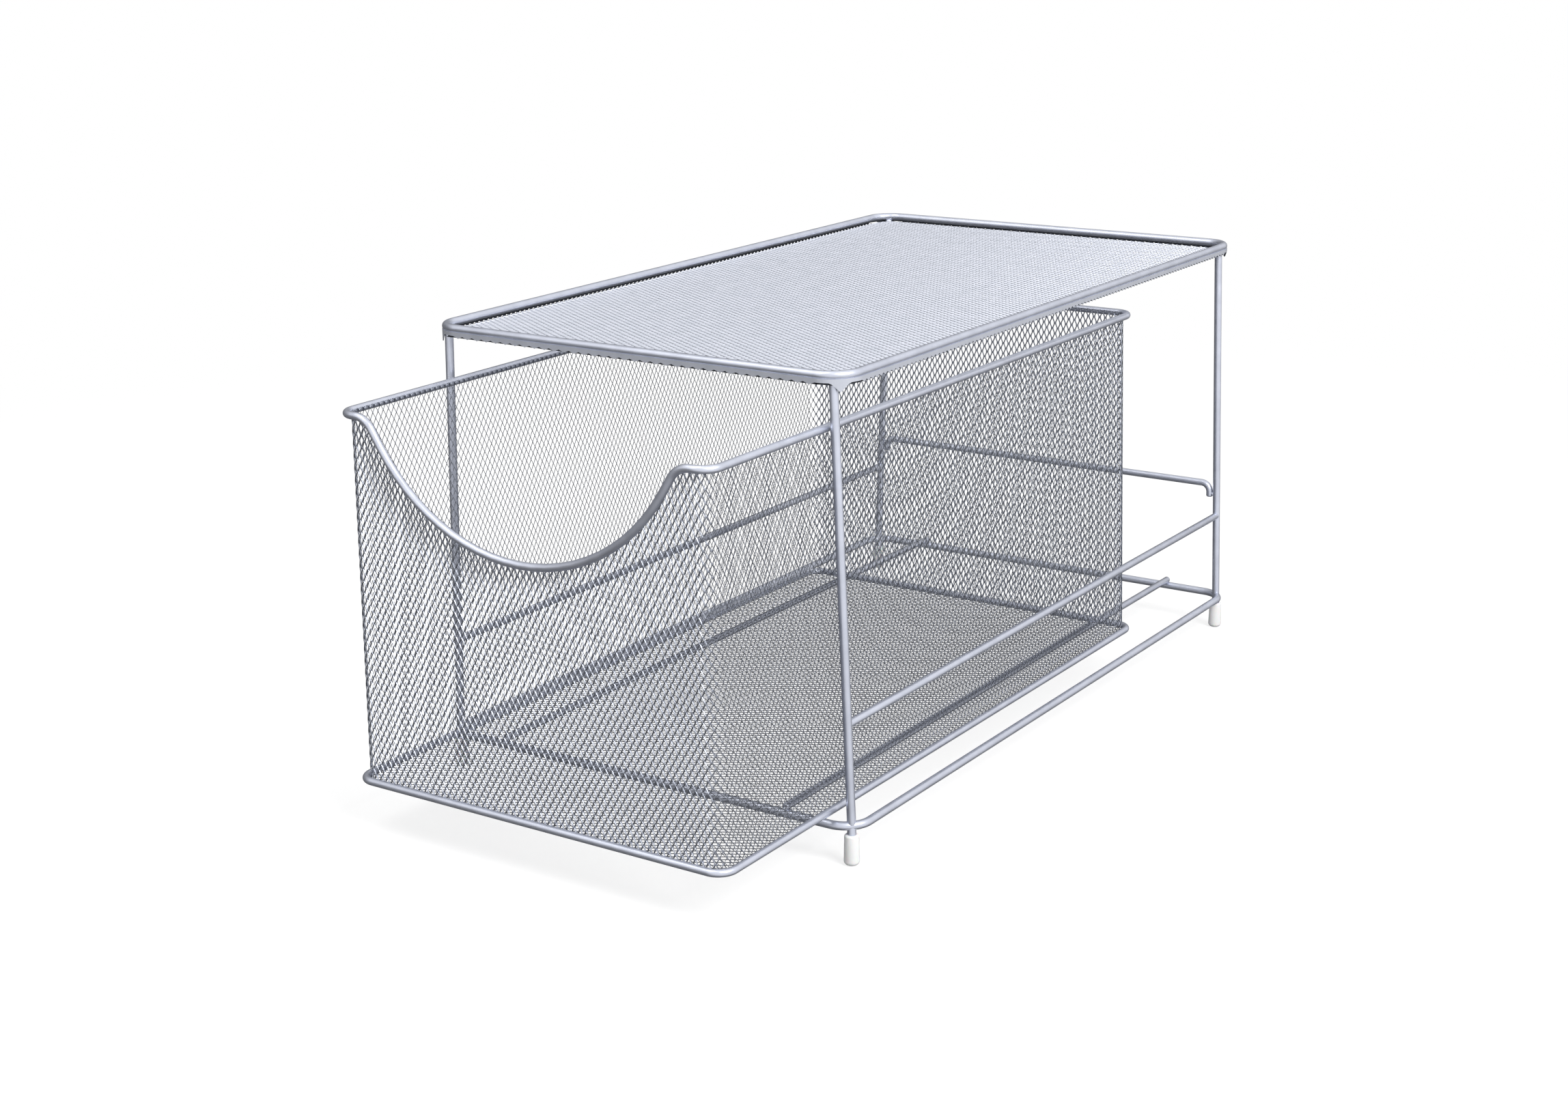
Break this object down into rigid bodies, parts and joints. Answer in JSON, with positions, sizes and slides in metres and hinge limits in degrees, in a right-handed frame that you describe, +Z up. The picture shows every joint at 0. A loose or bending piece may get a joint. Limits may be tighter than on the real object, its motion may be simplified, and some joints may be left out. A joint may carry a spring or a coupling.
{
  "type": "under sink organizer",
  "caption": "Wire frame with an expanded metal shelf on top and a pull-out expanded metal drawer with a scooped front edge.",
  "frame": {"origin": "on the floor, under the middle of the whole part with the drawer pulled out 92 mm, as pictured", "axes": "+X to the right seen from the front, +Y to the rear, +Z up; the drawer opens towards -Y"},
  "size_m": [0.2644, 0.542, 0.2473],
  "materials": {
    "wire_metal": "satin silver coating on round steel wire",
    "mesh_metal": "satin silver coating on expanded steel sheet",
    "cap_plastic": "off-white moulded plastic"
  },
  "bodies": {
    "frame": {"top_rim": "wire_metal", "shelf_mesh": "mesh_metal", "post_front_left": "wire_metal", "post_front_right": "wire_metal", "post_rear_left": "wire_metal", "post_rear_right": "wire_metal", "base_ring": "wire_metal", "side_rail_left": "wire_metal", "side_rail_right": "wire_metal", "back_bar": "wire_metal", "runner_left": "wire_metal", "runner_right": "wire_metal", "foot_peg_front_left": "wire_metal", "foot_peg_front_right": "wire_metal", "foot_peg_rear_left": "wire_metal", "foot_peg_rear_right": "wire_metal", "foot_cap_front_left": "cap_plastic", "foot_cap_front_right": "cap_plastic", "foot_cap_rear_left": "cap_plastic", "foot_cap_rear_right": "cap_plastic"},
    "drawer": {"drawer_top_rim": "wire_metal", "drawer_bottom_rim": "wire_metal", "drawer_mesh_front": "mesh_metal", "drawer_mesh_rear": "mesh_metal", "drawer_mesh_left": "mesh_metal", "drawer_mesh_right": "mesh_metal", "drawer_floor_mesh": "mesh_metal"}
  },
  "joints": [
    {"name": "drawer_slide", "type": "slide", "parent": "frame", "child": "drawer", "axis": [0, -1, 0], "range_m": [-0.105, 0.11]}
  ]
}
